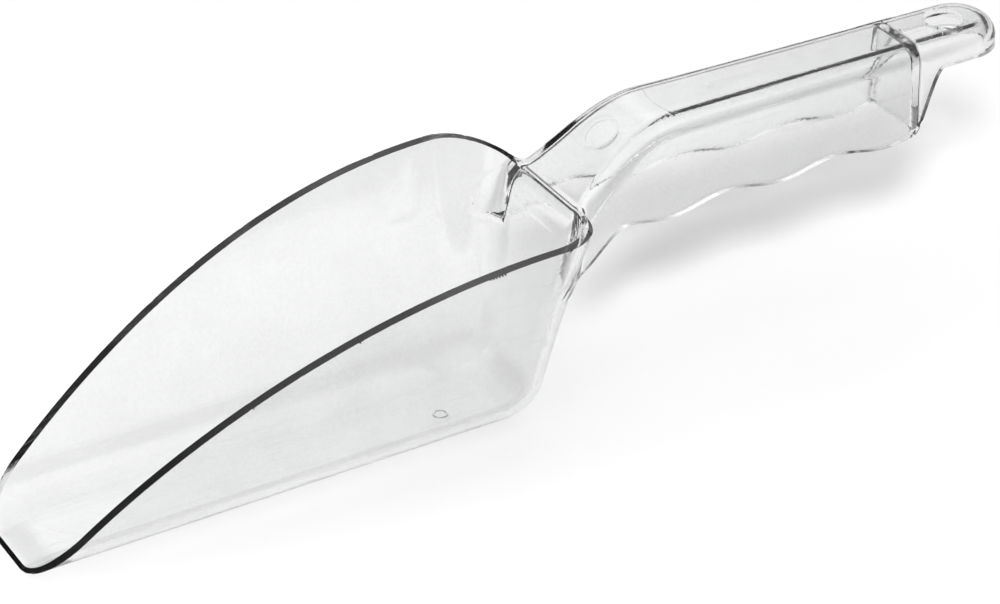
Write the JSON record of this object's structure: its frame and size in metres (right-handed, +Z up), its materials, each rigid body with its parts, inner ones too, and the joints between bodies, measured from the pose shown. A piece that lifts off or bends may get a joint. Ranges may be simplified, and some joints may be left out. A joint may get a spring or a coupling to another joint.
{
  "type": "ice scoop",
  "caption": "Clear bar ice scoop: flared tray with an arched open rim, a ramped neck and a channel handle with finger bumps and a round hanging tab.",
  "frame": {"origin": "on the surface the scoop rests on, under the middle of its length and of its width", "axes": "+X from the bowl's nose to the end of the handle, +Y to the left of someone looking along +X, +Z up out of the bowl"},
  "size_m": [0.254, 0.0592, 0.0645],
  "materials": {
    "clear_plastic": "clear moulded polycarbonate, polished"
  },
  "bodies": {
    "root": {"bowl": "clear_plastic", "neck_web": "clear_plastic", "grip_web": "clear_plastic", "left_flange": "clear_plastic", "right_flange": "clear_plastic", "end_bulkhead": "clear_plastic", "hang_tab": "clear_plastic"}
  },
  "joints": []
}
